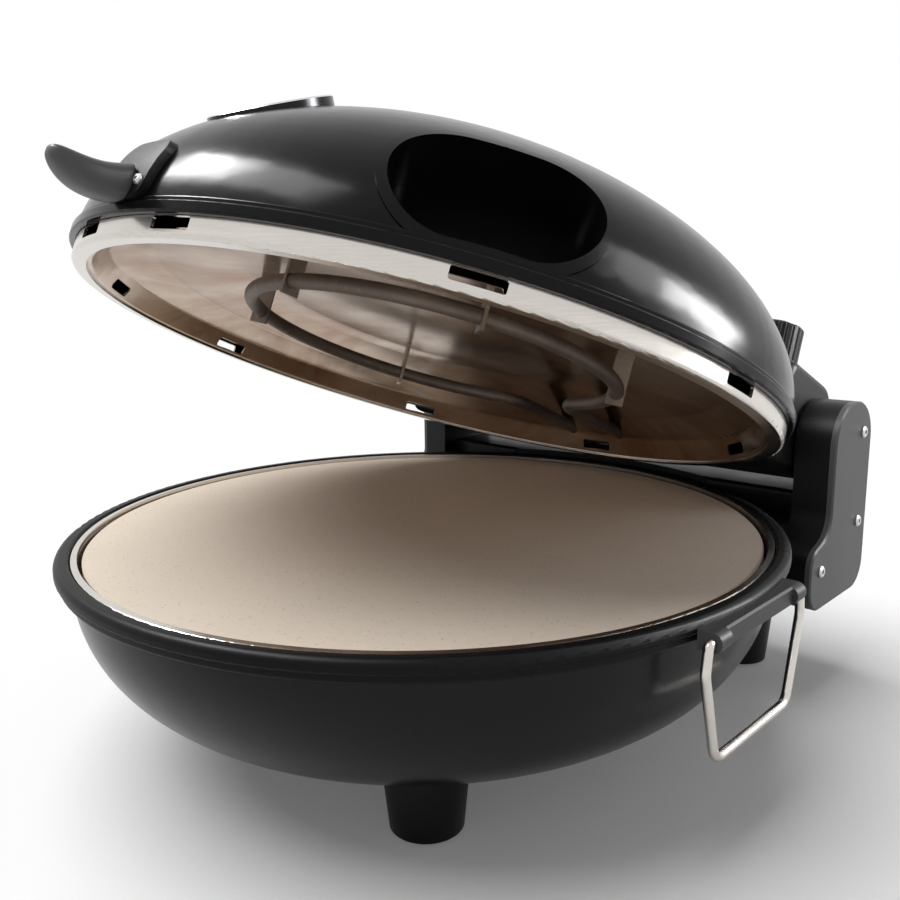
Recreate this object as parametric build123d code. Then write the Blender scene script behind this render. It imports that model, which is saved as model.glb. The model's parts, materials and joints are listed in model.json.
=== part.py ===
from build123d import *
import math
import os

# Electric pizza maker: a round oven on four feet, with a dome lid on a rear hinge.
# Millimetres. Front handle at -Y, hinge at +Y, floor at Z = 0.

# ---- driving dimensions -------------------------------------------------------------------
STONE_RADIUS = 152.5
STONE_THICKNESS = 12.0
STONE_TOP = 93.0
STONE_PLAY = 1.8

PAN_WALL = 1.0
PAN_LEDGE = 8.0
PAN_DEPTH = 46.0
PAN_FLOOR_RADIUS = 118.0
PAN_FLANGE = 1.8

TRIM_HEIGHT = 1.7
RIM_PLAY = 0.3
RIM_WIDTH = 8.0
RIM_HEIGHT = 10.0
RIM_STAND = 2.0
RIM_ROLL = 5.2
RIM_STEP = 1.3
RIM_SKIRT = 1.8

BOWL_WALL = 1.5
BOWL_OVERHANG = 1.7
BOWL_FLOOR = 16.5
BOWL_FLAT_RADIUS = 70.0
BOWL_FULLNESS_SIDE = 42.0
BOWL_FULLNESS_FLOOR = 48.0

FOOT_TOP_RADIUS = 18.5
FOOT_BASE_RADIUS = 14.5
FOOT_LIFT = 1.5
FOOT_BLEND = 25.0
FRONT_FOOT_X = 71.0
FRONT_FOOT_Y = -73.0
REAR_FOOT_X = 88.0
REAR_FOOT_Y = 152.0
PAD_RADIUS = 11.5
PAD_THICKNESS = 3.5

HINGE_Y = 166.0
HINGE_RISE = 29.0
LID_REST = 22.5

POST_INNER = 119.0
POST_WIDTH = 17.0
POST_FRONT = 138.0
POST_REAR = 184.0
POST_TOP_RISE = 51.0
HOUSING_DROP = 47.0
LOBE_FRONT = 116.5
LOBE_TOP_DROP = 17.0
BRIDGE_FRONT = 149.0
BRIDGE_RISE = 5.0
SHELF_DROP = 8.0
HOUSING_WALL = 3.0
COVER_THICKNESS = 2.5
PLATE_THICKNESS = 3.0
PIN_RADIUS = 4.0
PIN_LENGTH = 33.0
PIN_CLEARANCE = 0.05
WASHER_RADIUS = 12.0
WASHER_THICKNESS = 1.7

LID_GAP = 3.0
BAND_OVERHANG = 6.0
BAND_WALL = 1.2
BAND_HEIGHT = 11.0
BAND_FLANGE = 6.0
BAND_FOLD = 1.6
SLOT_ANGLES = (10, 48, 86, 135, 180, 225, 274, 312, 350)
SLOT_LENGTH = 18.0
SLOT_HEIGHT = 4.6
SLOT_CORNER = 1.0
SLOT_DROP = 0.3

DOME_OVERLAP = 1.2
DOME_HEIGHT = 86.0
DOME_WALL = 1.5
DOME_BASE_RISE = 13.0
LIP_HEIGHT = 4.0
LIP_PROUD = 1.6
LIP_RELIEF = 0.3
LIP_RELIEF_HEIGHT = 1.5
STEP_HEIGHT = 1.8
STEP_PROUD = 0.8

REFLECTOR_WALL = 0.8
REFLECTOR_CROWN = 38.0
REFLECTOR_LIP = 151.0
REFLECTOR_STEP = (146.0, 14.0)
REFLECTOR_KNEE = (131.0, 21.0)
REFLECTOR_SHOULDER = (94.0, 31.0)
REFLECTOR_FOLDS = (1.5, 3.0, 10.0, 60.0)

ELEMENT_RADIUS = 3.25
LOWER_ELEMENT_RING = 100.0
LOWER_ELEMENT_DROP = 34.0
UPPER_ELEMENT_RING = 86.0
UPPER_ELEMENT_RISE = 16.0
ELEMENT_TAIL_X = 16.0
ELEMENT_BEND = 14.0
LOWER_TAIL_END = 142.0
UPPER_TAIL_END = 152.0

SCOOP_ANGLE = 48.0
SCOOP_LENGTH = 69.5
SCOOP_HEIGHT = 47.5
SCOOP_WALL = 1.5
SCOOP_LIP = 2.0
SCOOP_LIP_PROUD = 0.7

BADGE_Y = -116.0
BADGE_TILT = 6.0
BADGE_RADIUS = 24.0
BADGE_FACE_RADIUS = 19.5
BADGE_STAND = 1.8
BADGE_RECESS = 0.9

HANDLE_WIDTH = 16.0
HANDLE_CORNER = 5.0
HANDLE_ROOT = (-155.0, 15.5)
HANDLE_BELLY = (-176.0, 11.0)
HANDLE_HOOK = (-186.5, 16.5)
HANDLE_TIP = (-188.3, 20.0)
HANDLE_TOP = (-185.8, 23.0)
HANDLE_NECK = (-171.0, 22.0)
HANDLE_SHOULDER = (-155.0, 33.0)
HANDLE_SEAT_THICKNESS = 3.0
HANDLE_MIDDLE = 27.0
HANDLE_SEAT_WIDTH = 27.0
HANDLE_SEAT_HEIGHT = 24.0
HANDLE_SEAT_CORNER = 6.0
HANDLE_SCREW_X = 10.6
HANDLE_SCREW_DROP = 6.0

LID_HOUSING_PLAY = 0.3
LID_HOUSING_BASE_RISE = 8.0
LID_HOUSING_TOP_RISE = 59.0
LID_HOUSING_REAR = 181.0
LID_HOUSING_WALL = 3.0
LID_HOUSING_FRONT = 106.0
LID_HOUSING_BROW = 124.0

KNOB_X = 94.0
KNOB_Y = 145.0
KNOB_RADIUS = 14.5
KNOB_SKIRT = 3.0
KNOB_HEIGHT = 22.0
KNOB_GRIPS = 24
FLUTE_RADIUS = 1.1
POINTER_HALF = 0.7
SHAFT_RADIUS = 3.0

BAIL_WIRE = 1.8
BAIL_STAND = 2.0
BAIL_DROP = 4.5
BAIL_EYE = 27.5
BAIL_SIDE = 36.0
BAIL_SPLAY = 37.5
BAIL_SPLAY_DROP = 10.0
BAIL_BASE = 28.5
BAIL_LENGTH = 44.0
BRACKET_DEPTH = 3.6
BRACKET_EDGE = 0.7
LUG_INNER = 26.0
LUG_OUTER = 33.5
LUG_RADIUS = 3.7

LOBE_SLOPE = 6.0
CLIP_WIDTH = 8.0
CLIP_THICKNESS = 1.5
CLIP_CLEARANCE = 0.2
CLIP_ANGLES = (35, 145, 215, 270, 325)
SCREW_HEAD = 1.4
PLATE_SCREW_HEAD = 2.9
PLATE_SCREW_SHANK = 1.6
PLATE_SCREW_LENGTH = 11.0
COVER_SCREW_HEAD = 2.8
COVER_SCREW_SHANK = 1.5
COVER_SCREW_LENGTH = 9.0
HANDLE_SCREW_HEAD = 2.0
HANDLE_SCREW_SHANK = 1.1
HANDLE_SCREW_LENGTH = 6.0
GLAND_X = 72.0
GLAND_DROP = 26.0
GLAND_NECK = 6.5
GLAND_BORE = 3.8
SCOOP_RISE = 40.0
SCOOP_REACH = 40.0
SCOOP_SILL = (158.0, 17.0)
SCOOP_FLOOR = (136.0, 29.0)
SCOOP_CREASE = (121.0, 50.0)
SCOOP_BROW = (127.0, 68.0)
LID_HOUSING_SHOULDER = 14.0
BUSH_RADIUS = 4.5
KNOB_LIFT = 1.0
LAMP_RADIUS = 3.0
LAMP_X = 66.0
LAMP_Y = 158.0
THERMOSTAT_HALF_WIDTH = 13.0
THERMOSTAT_HALF_DEPTH = 11.0
THERMOSTAT_HEIGHT = 12.0
BLADE_X = 7.0
BLADE_HALF = 2.5
BLADE_THICKNESS = 0.8
BLADE_LENGTH = 7.0
CUTOUT_RADIUS = 8.0
CUTOUT_DEPTH = 8.0
TERMINAL_WAYS = 4
TERMINAL_PITCH = 11.0
TERMINAL_DEPTH = 10.0
TERMINAL_HEIGHT = 14.0
TERMINAL_SCREW = 2.2
TERMINAL_ENTRY = 1.8

# ---- derived levels and radii -------------------------------------------------------------
BAND_RADIUS = STONE_RADIUS + BAND_OVERHANG
DOME_RADIUS = BAND_RADIUS + DOME_OVERLAP
PAN_INNER = STONE_RADIUS + STONE_PLAY
PAN_OUTER = PAN_INNER + PAN_WALL
LEDGE_Z = STONE_TOP - STONE_THICKNESS
PAN_TOP = STONE_TOP - 0.4
TRIM_OUTER = PAN_OUTER + PAN_FLANGE
RIM_INNER = PAN_OUTER + RIM_PLAY
RIM_RADIUS = RIM_INNER + RIM_WIDTH
BOWL_RADIUS = RIM_INNER + BOWL_OVERHANG
BAIL_X = RIM_RADIUS + BAIL_STAND
BRACKET_FACE = RIM_RADIUS + BRACKET_DEPTH
RIM_TOP = STONE_TOP + RIM_STAND
RIM_BASE = RIM_TOP - RIM_HEIGHT
HINGE_Z = STONE_TOP + HINGE_RISE
PIVOT = (0, HINGE_Y, HINGE_Z)
BAND_Z = STONE_TOP + LID_GAP
BAND_TOP = BAND_Z + BAND_HEIGHT
DOME_Z = STONE_TOP + DOME_BASE_RISE
LIP_Z = BAND_TOP + 0.5 - LIP_HEIGHT
POST_OUTER = POST_INNER + POST_WIDTH
LID_HOUSING_HALF = POST_INNER - WASHER_THICKNESS - LID_HOUSING_PLAY
HOUSING_BASE = STONE_TOP - HOUSING_DROP
BRIDGE_TOP = STONE_TOP + BRIDGE_RISE
SHELF_TOP = STONE_TOP - SHELF_DROP
CAVITY_HALF = POST_INNER - HOUSING_WALL
PIN_END = POST_OUTER - 2.0
LIP_RADIUS = DOME_RADIUS + LIP_PROUD
LIP_TOP = BAND_TOP + 0.5
RIM_UPSTAND = TRIM_OUTER + 0.3
RIM_FOOT = RIM_INNER + 2.4
BOWL_FLANGE_RADIUS = RIM_FOOT
LOWER_ELEMENT_Z = STONE_TOP - LOWER_ELEMENT_DROP
UPPER_ELEMENT_Z = STONE_TOP + UPPER_ELEMENT_RISE
GLAND_Z = STONE_TOP - GLAND_DROP
STANDING = (Align.CENTER, Align.CENTER, Align.MIN)


# ---- shape helpers ------------------------------------------------------------------------
def turned(*lines):
    """Solid of revolution about Z from a closed outline in (radius, height)."""
    outline = make_face([edge for line in lines for edge in line.edges()])
    return revolve(Plane.XZ * outline, Axis.Z)


def disc(radius, low, high, x=0, y=0):
    return Pos(x, y, low) * Cylinder(radius, high - low, align=STANDING)


def ring(inner, outer, low, high):
    return disc(outer, low, high) - disc(inner, low, high)


def block(x, y, z):
    """Box from three (low, high) pairs."""
    corner = (x[0], y[0], z[0])
    return Pos(*corner) * Box(x[1] - x[0], y[1] - y[0], z[1] - z[0], align=(Align.MIN,) * 3)


def rod_x(radius, x_low, x_high, y, z):
    return Pos(x_low, y, z) * Rot(Y=90) * Cylinder(radius, x_high - x_low, align=STANDING)


def rod_y(radius, y_low, y_high, x, z):
    return Pos(x, y_low, z) * Rot(X=-90) * Cylinder(radius, y_high - y_low, align=STANDING)


def side_profile(face, x_low, x_high):
    """Extrude a face drawn in (y, z) from one X to another."""
    plane = Plane(origin=(x_low, 0, 0), x_dir=(0, 1, 0), z_dir=(1, 0, 0))
    return extrude(plane * face, amount=x_high - x_low)


def mirrored(shape):
    return mirror(shape, about=Plane.YZ)


def pressed_sheet(points, radii, wall):
    """Revolved sheet whose lower or inner face runs through the points, outermost first."""
    line = FilletPolyline(*points, radius=radii)
    return revolve(Plane.XZ * make_face(offset(line, wall, side=Side.RIGHT).edges()), Axis.Z)


def heating_rod(ring_radius, z, tail_end):
    """Tubular element: an open ring whose two ends bend out to the rear as parallel tails."""
    bend_x = ELEMENT_TAIL_X + ELEMENT_BEND
    bend_y = math.sqrt((ring_radius + ELEMENT_BEND) ** 2 - bend_x ** 2)
    swing = math.atan2(bend_y, bend_x)
    middle = math.pi + swing / 2
    touch = ring_radius / (ring_radius + ELEMENT_BEND)

    def tail(side):
        start = (side * ELEMENT_TAIL_X, bend_y, z)
        mid_x = bend_x + ELEMENT_BEND * math.cos(middle)
        mid = (side * mid_x, bend_y + ELEMENT_BEND * math.sin(middle), z)
        end = (side * bend_x * touch, bend_y * touch, z)
        return Line((side * ELEMENT_TAIL_X, tail_end, z), start), ThreePointArc(start, mid, end), end

    line_a, bend_a, end_a = tail(1)
    line_b, bend_b, end_b = tail(-1)
    loop = ThreePointArc(end_a, (0, -ring_radius, z), end_b)
    path = Wire([line_a.edge(), bend_a.edge(), loop.edge(), bend_b.edge(), line_b.edge()])
    section = Plane(origin=(ELEMENT_TAIL_X, tail_end, z), z_dir=(0, -1, 0)) * Circle(ELEMENT_RADIUS)
    return sweep(section, path=path)


def element_clip(ring_radius, z, low, high, angle):
    """Upright plate across the rod, with a hole that the rod passes through."""
    plate = block((ring_radius - CLIP_WIDTH / 2, ring_radius + CLIP_WIDTH / 2),
                  (-CLIP_THICKNESS / 2, CLIP_THICKNESS / 2), (low, high))
    hole = rod_y(ELEMENT_RADIUS + CLIP_CLEARANCE, -CLIP_THICKNESS, CLIP_THICKNESS, ring_radius, z)
    return Rot(Z=angle) * (plate - hole)


def button_screw(place, head_radius, shank_radius, length):
    """Hex-socket button screw, head outwards along the place's Z."""
    head = Cylinder(head_radius, SCREW_HEAD, align=STANDING)
    head = chamfer(head.edges().group_by(Axis.Z)[-1], SCREW_HEAD * 0.45)
    socket = Pos(Z=SCREW_HEAD * 0.4) * extrude(RegularPolygon(head_radius * 0.45, 6), amount=SCREW_HEAD)
    shank = Pos(Z=-length) * Cylinder(shank_radius, length, align=STANDING)
    return place * (head - socket + shank)


def screw_hole(place, shank_radius, length):
    return place * Pos(Z=-length) * Cylinder(shank_radius, length, align=STANDING)


# ---- base ---------------------------------------------------------------------------------
def bowl_outline(inset):
    """Side wall from the rim down to the flat floor, as one smooth curve."""
    side = BOWL_RADIUS - inset
    floor = BOWL_FLOOR + inset
    return Bezier((side, RIM_BASE), (side, RIM_BASE - BOWL_FULLNESS_SIDE),
                  (BOWL_FLAT_RADIUS + BOWL_FULLNESS_FLOOR, floor), (BOWL_FLAT_RADIUS, floor))


def bowl_envelope():
    """The bowl filled solid, with its flange, to cut what sits against it."""
    wall = bowl_outline(0)
    filled = turned(wall, Line(wall @ 1, (0, BOWL_FLOOR)), Line((0, BOWL_FLOOR), (0, RIM_BASE)),
                    Line((0, RIM_BASE), wall @ 0))
    return filled + disc(BOWL_FLANGE_RADIUS, RIM_BASE - BOWL_WALL, RIM_BASE)


def base_bowl():
    outer = bowl_outline(0)
    inner = bowl_outline(BOWL_WALL)
    floor_top = BOWL_FLOOR + BOWL_WALL
    shell = turned(outer, Line(outer @ 1, (0, BOWL_FLOOR)), Line((0, BOWL_FLOOR), (0, floor_top)),
                   Line((0, floor_top), inner @ 1), inner, Line(inner @ 0, outer @ 0))
    return shell + ring(BOWL_RADIUS - BOWL_WALL, BOWL_FLANGE_RADIUS, RIM_BASE - BOWL_WALL, RIM_BASE)


def base_rim():
    """Rolled rim: a flat ledge for the pan's flange, a round outer roll and a stepped skirt."""
    ledge = PAN_TOP - PAN_WALL
    roll_low = RIM_TOP - RIM_ROLL
    skirt = RIM_RADIUS - RIM_STEP
    outline = FilletPolyline(
        (RIM_INNER, RIM_BASE), (RIM_INNER, ledge), (RIM_UPSTAND, ledge), (RIM_UPSTAND, RIM_TOP),
        (RIM_RADIUS, RIM_TOP), (RIM_RADIUS, roll_low), (skirt, roll_low),
        (skirt, RIM_BASE + RIM_SKIRT), (RIM_FOOT, RIM_BASE),
        radius=[0.2, 0.2, 1.2, 3.0, 0.9, 0.3, 1.5], close=False)
    return turned(outline, Line(outline @ 1, outline @ 0))


def base_pan():
    floor = LEDGE_Z - PAN_WALL - PAN_DEPTH
    ledge_inner = PAN_INNER - PAN_LEDGE
    flange = PAN_TOP - PAN_WALL
    ledge = LEDGE_Z - PAN_WALL
    pan = pressed_sheet([(TRIM_OUTER, flange), (PAN_OUTER, flange), (PAN_OUTER, ledge), (ledge_inner, ledge),
                         (PAN_FLOOR_RADIUS, floor), (0, floor)], [0.3, 0.3, 4.0, 12.0], PAN_WALL)
    for side in (-1, 1):
        pan -= rod_y(ELEMENT_RADIUS + CLIP_CLEARANCE, PAN_FLOOR_RADIUS, BOWL_RADIUS,
                     side * ELEMENT_TAIL_X, LOWER_ELEMENT_Z)
    return pan


def base_trim():
    """Bright ring that holds the pan's flange on the rim's ledge."""
    top = PAN_TOP + TRIM_HEIGHT
    points = [(PAN_INNER, PAN_TOP), (TRIM_OUTER, PAN_TOP), (TRIM_OUTER, top), (PAN_INNER, top)]
    outline = FilletPolyline(*points, radius=[0.1, 0.7])
    return turned(outline, Line(outline @ 1, outline @ 0))


def stone():
    plate = disc(STONE_RADIUS, LEDGE_Z, STONE_TOP)
    return chamfer(plate.edges(), 0.8)


def foot(x, y, top):
    taper = Pos(x, y, FOOT_LIFT) * Cone(FOOT_BASE_RADIUS, FOOT_TOP_RADIUS, top - FOOT_LIFT,
                                        align=STANDING)
    return taper - disc(PAD_RADIUS, FOOT_LIFT, PAD_THICKNESS, x, y)


def foot_pad(x, y):
    pad = disc(PAD_RADIUS, 0, PAD_THICKNESS, x, y)
    return chamfer(pad.edges().group_by(Axis.Z)[0], 0.6)


def hinge_outline():
    """Dog-leg outline of the hinge post and its side plate, in (y, z)."""
    top = STONE_TOP + POST_TOP_RISE
    return make_face(FilletPolyline(
        (POST_FRONT, top), (POST_REAR, top), (POST_REAR, HOUSING_BASE), (LOBE_FRONT, HOUSING_BASE),
        (LOBE_FRONT, STONE_TOP - LOBE_TOP_DROP), (POST_FRONT, STONE_TOP - LOBE_TOP_DROP + LOBE_SLOPE),
        radius=[20.0, 20.0, 14.0, 13.0, 10.0, 14.0], close=True).edges())


def plate_screw_places():
    outer = POST_OUTER + PLATE_THICKNESS
    spots = [(HINGE_Y + 6, STONE_TOP + 35), (HINGE_Y + 6, STONE_TOP - 11), (LOBE_FRONT + 11, STONE_TOP - 27)]
    return [Plane(origin=(outer, y, z), x_dir=(0, 1, 0), z_dir=(1, 0, 0)).location for y, z in spots]


def cover_screw_places():
    under = HOUSING_BASE - COVER_THICKNESS
    spots = [(side * (POST_INNER + 4), y) for side in (-1, 1) for y in (POST_REAR - 10, POST_FRONT + 10)]
    return [Plane(origin=(x, y, under), x_dir=(1, 0, 0), z_dir=(0, 0, -1)).location for x, y in spots]


def hinge_housing():
    """Rear housing: a bridge and shelf round the back of the bowl, with a post at each end."""
    bridge = block((-POST_INNER, POST_INNER), (BRIDGE_FRONT, POST_REAR), (HOUSING_BASE, BRIDGE_TOP))
    bridge = fillet(bridge.edges().filter_by(Axis.X).group_by(Axis.Z)[-1], 2.5)
    shelf = block((-POST_INNER, POST_INNER), (LOBE_FRONT, POST_REAR), (HOUSING_BASE, SHELF_TOP))
    post = side_profile(hinge_outline(), POST_INNER, POST_OUTER)
    body = bridge + shelf + post + mirrored(post)
    body -= disc(RIM_RADIUS, RIM_BASE - BOWL_WALL, BRIDGE_TOP + 1)
    body -= bowl_envelope()
    inside = block((-CAVITY_HALF, CAVITY_HALF), (BRIDGE_FRONT + HOUSING_WALL, POST_REAR - HOUSING_WALL),
                   (HOUSING_BASE, BRIDGE_TOP - HOUSING_WALL))
    inside += block((-CAVITY_HALF, CAVITY_HALF), (LOBE_FRONT + HOUSING_WALL, BRIDGE_FRONT + HOUSING_WALL),
                    (HOUSING_BASE, SHELF_TOP - HOUSING_WALL))
    body -= inside - disc(RIM_RADIUS + HOUSING_WALL, HOUSING_BASE, BRIDGE_TOP)
    body -= rod_y(GLAND_NECK, POST_REAR - 2 * HOUSING_WALL, POST_REAR, GLAND_X, GLAND_Z)
    pin = rod_x(PIN_RADIUS, POST_INNER, PIN_END, HINGE_Y, HINGE_Z)
    body -= pin + mirrored(pin)
    for place in plate_screw_places():
        hole = screw_hole(place, PLATE_SCREW_SHANK, PLATE_SCREW_LENGTH)
        body -= hole + mirrored(hole)
    for place in cover_screw_places():
        body -= screw_hole(place, COVER_SCREW_SHANK, COVER_SCREW_LENGTH)
    return body


def hinge_cover():
    """Plate under the rear housing that closes its wiring space."""
    half = POST_INNER + 9
    plate = block((-half, half), (BRIDGE_FRONT - 12, POST_REAR - 1),
                  (HOUSING_BASE - COVER_THICKNESS, HOUSING_BASE))
    plate = fillet(plate.edges().filter_by(Axis.Z), 5.0)
    plate -= disc(RIM_RADIUS + HOUSING_WALL, 0, STONE_TOP)
    for place in cover_screw_places():
        plate -= screw_hole(place, COVER_SCREW_SHANK, COVER_SCREW_LENGTH)
    return plate


def hinge_plate():
    plate = side_profile(hinge_outline(), POST_OUTER, POST_OUTER + PLATE_THICKNESS)
    plate = chamfer(plate.faces().sort_by(Axis.X)[-1].edges(), 0.8)
    for place in plate_screw_places():
        plate -= screw_hole(place, PLATE_SCREW_SHANK, PLATE_SCREW_LENGTH)
    return plate


def plate_screws():
    right = [button_screw(place, PLATE_SCREW_HEAD, PLATE_SCREW_SHANK, PLATE_SCREW_LENGTH)
             for place in plate_screw_places()]
    return right + [mirrored(screw) for screw in right]


def cover_screws():
    return [button_screw(place, COVER_SCREW_HEAD, COVER_SCREW_SHANK, COVER_SCREW_LENGTH)
            for place in cover_screw_places()]


def hinge_pin():
    return rod_x(PIN_RADIUS, PIN_END - PIN_LENGTH, PIN_END, HINGE_Y, HINGE_Z)


def friction_washer():
    low = POST_INNER - WASHER_THICKNESS
    outer = rod_x(WASHER_RADIUS, low, POST_INNER, HINGE_Y, HINGE_Z)
    return outer - rod_x(PIN_RADIUS + PIN_CLEARANCE, low, POST_INNER, HINGE_Y, HINGE_Z)


def cord_gland():
    """Bush in the rear wall where a mains cord would leave; it is empty."""
    flange = rod_y(GLAND_NECK + 2.5, POST_REAR, POST_REAR + 3, GLAND_X, GLAND_Z)
    flange = chamfer(flange.edges().group_by(Axis.Y)[-1], 1.0)
    neck = rod_y(GLAND_NECK, POST_REAR - 2 * HOUSING_WALL, POST_REAR, GLAND_X, GLAND_Z)
    return flange + neck - rod_y(GLAND_BORE, POST_REAR - 3 * HOUSING_WALL, POST_REAR + 4, GLAND_X, GLAND_Z)


def terminal_block():
    """Four-way screw terminal block on the cover, behind the bowl."""
    rear = POST_REAR - HOUSING_WALL - 2
    half = TERMINAL_WAYS * TERMINAL_PITCH / 2
    top = HOUSING_BASE + TERMINAL_HEIGHT
    body = block((-half, half), (rear - TERMINAL_DEPTH, rear), (HOUSING_BASE, top))
    for way in range(TERMINAL_WAYS):
        x = (way + 0.5) * TERMINAL_PITCH - half
        body -= disc(TERMINAL_SCREW, top - TERMINAL_HEIGHT * 0.4, top, x, rear - TERMINAL_DEPTH / 2)
        body -= rod_y(TERMINAL_ENTRY, rear - TERMINAL_DEPTH, rear, x, HOUSING_BASE + TERMINAL_HEIGHT * 0.35)
    return body


# ---- lid, drawn closed --------------------------------------------------------------------
def dome_arc(inset, low):
    """Quarter outline of the dome from a height up to its crown."""
    radius = DOME_RADIUS - inset
    height = DOME_HEIGHT - inset
    start = math.asin((low - DOME_Z) / height)
    angles = [start + (math.pi / 2 - start) * i / 6 for i in range(7)]
    points = [(radius * math.cos(a), DOME_Z + height * math.sin(a)) for a in angles]
    return Spline(*points, tangents=[(-radius * math.sin(start), height * math.cos(start)), (-1, 0)])


def dome_solid(growth):
    """The dome filled solid, grown outwards by a distance."""
    arc = dome_arc(-growth, DOME_Z)
    return turned(arc, Line(arc @ 1, (0, DOME_Z)), Line((0, DOME_Z), arc @ 0))


def dome_radius_at(z):
    return DOME_RADIUS * math.sqrt(1 - ((z - DOME_Z) / DOME_HEIGHT) ** 2)


def lid_outline():
    """Rolled lip with a fine step above it, then the dome's outer curve."""
    step_top = LIP_TOP + STEP_HEIGHT
    step = dome_radius_at(step_top) + STEP_PROUD
    outer = dome_arc(0, step_top)
    lip = FilletPolyline((BAND_RADIUS, LIP_Z), (LIP_RADIUS, LIP_Z), (LIP_RADIUS, LIP_TOP), (step, LIP_TOP),
                         (step, step_top), outer @ 0, radius=[0.8, 0.5, 0.2, 0.5])
    return lip, outer


def lid_envelope():
    """The lid filled solid down to the level of the closed gap, to cut what sits against it."""
    lip, outer = lid_outline()
    filled = turned(lip, outer, Line(outer @ 1, (0, LIP_Z)), Line((0, LIP_Z), (BAND_RADIUS, LIP_Z)))
    return filled + disc(LIP_RADIUS, STONE_TOP, LIP_Z)


def scoop_frame():
    """Plane across a hand scoop's mouth, Z out of the dome."""
    z = STONE_TOP + SCOOP_RISE
    radius = dome_radius_at(z)
    slope = math.atan2((z - DOME_Z) / DOME_HEIGHT ** 2, radius / DOME_RADIUS ** 2)
    out = math.radians(SCOOP_ANGLE)
    tangent = (math.cos(out), math.sin(out), 0)
    normal = (math.cos(slope) * math.sin(out), -math.cos(slope) * math.cos(out), math.sin(slope))
    return Plane(origin=(radius * math.sin(out), -radius * math.cos(out), z), x_dir=tangent, z_dir=normal)


def scoop_prism(growth):
    """Capsule prism through the dome's wall, grown sideways by a distance."""
    capsule = SlotOverall(SCOOP_LENGTH + 2 * growth, SCOOP_HEIGHT + 2 * growth)
    return extrude(scoop_frame() * capsule, amount=SCOOP_REACH, both=True)


def scoop_hollow(growth):
    """Hand space behind the mouth: a curved floor that rises to a crease under an upright brow."""
    bends = (SCOOP_SILL, SCOOP_FLOOR, SCOOP_CREASE, SCOOP_BROW)
    sill, floor, crease, brow = [(r, STONE_TOP + rise) for r, rise in bends]
    beyond = LIP_RADIUS + SCOOP_REACH
    mouth = Polyline(crease, brow, (beyond, brow[1]), (beyond, sill[1]), sill)
    section = make_face([ThreePointArc(sill, floor, crease).edge()] + list(mouth.edges()))
    if growth:
        section = offset(section, growth)
    out = math.radians(SCOOP_ANGLE)
    along = (math.sin(out), -math.cos(out), 0)
    plane = Plane(origin=(0, 0, 0), x_dir=along, z_dir=(-math.cos(out), -math.sin(out), 0))
    return extrude(plane * section, amount=SCOOP_LENGTH, both=True)


def grip_scoop():
    hollow = scoop_prism(0) & scoop_hollow(0)
    envelope = lid_envelope()
    cup = scoop_prism(SCOOP_WALL) & scoop_hollow(SCOOP_WALL) & envelope
    lip = (scoop_prism(SCOOP_WALL + SCOOP_LIP) & dome_solid(SCOOP_LIP_PROUD)) - envelope - scoop_prism(0)
    return cup - hollow + lip


def lid_dome():
    """Thin dome with a rolled lip, open where the hand scoops sit."""
    lip, outer = lid_outline()
    inner = dome_arc(DOME_WALL, LIP_TOP)
    shell = turned(lip, outer, Line(outer @ 1, inner @ 1), inner, Line(inner @ 0, (BAND_RADIUS, LIP_TOP)),
                   Line((BAND_RADIUS, LIP_TOP), (BAND_RADIUS, LIP_Z)))
    shell -= ring(BAND_RADIUS - 1, BAND_RADIUS + LIP_RELIEF, LIP_Z - 1, LIP_Z + LIP_RELIEF_HEIGHT)
    opening = scoop_prism(SCOOP_WALL)
    shell -= opening + mirrored(opening)
    for place in handle_screw_places():
        shell -= screw_hole(place, HANDLE_SCREW_SHANK, HANDLE_SCREW_LENGTH)
    return shell


def vent_slots(inner, outer):
    """Cutters for the round-cornered vent slots just under the lip, between two radii."""
    outline = RectangleRounded(SLOT_LENGTH, SLOT_HEIGHT, SLOT_CORNER)
    middle = (0, -outer, LIP_Z - SLOT_DROP - SLOT_HEIGHT / 2)
    cutter = extrude(Plane(origin=middle, x_dir=(1, 0, 0), z_dir=(0, 1, 0)) * outline, amount=outer - inner)
    return [Rot(Z=angle) * cutter for angle in SLOT_ANGLES]


def lid_band():
    """Steel band inside the dome's lip, with an inward flange and vent slots."""
    points = [(BAND_RADIUS, BAND_TOP), (BAND_RADIUS, BAND_Z), (BAND_RADIUS - BAND_FLANGE, BAND_Z)]
    band = pressed_sheet(points, [BAND_FOLD], BAND_WALL)
    for slot in vent_slots(BAND_RADIUS - 2 * BAND_WALL, BAND_RADIUS + BAND_WALL):
        band -= slot
    return band


def reflector_line():
    base = BAND_Z + BAND_WALL
    bends = [REFLECTOR_STEP, REFLECTOR_KNEE, REFLECTOR_SHOULDER, (0, REFLECTOR_CROWN)]
    flange = [(BAND_RADIUS - BAND_WALL - 0.5, base), (REFLECTOR_LIP, base)]
    return flange + [(r, STONE_TOP + rise) for r, rise in bends]


def lid_reflector():
    sheet = pressed_sheet(reflector_line(), list(REFLECTOR_FOLDS), REFLECTOR_WALL)
    for slot in vent_slots(REFLECTOR_STEP[0] - SLOT_HEIGHT, REFLECTOR_LIP):
        sheet -= slot
    for side in (-1, 1):
        sheet -= rod_y(ELEMENT_RADIUS + CLIP_CLEARANCE, BAND_RADIUS / 2, LIP_RADIUS + 5,
                       side * ELEMENT_TAIL_X, UPPER_ELEMENT_Z)
    return sheet


def above_reflector():
    line = FilletPolyline(*reflector_line(), radius=list(REFLECTOR_FOLDS))
    top = DOME_Z + DOME_HEIGHT
    return turned(line, Line(line @ 1, (0, top)), Line((0, top), (BAND_RADIUS, top)),
                  Line((BAND_RADIUS, top), line @ 0))


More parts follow.
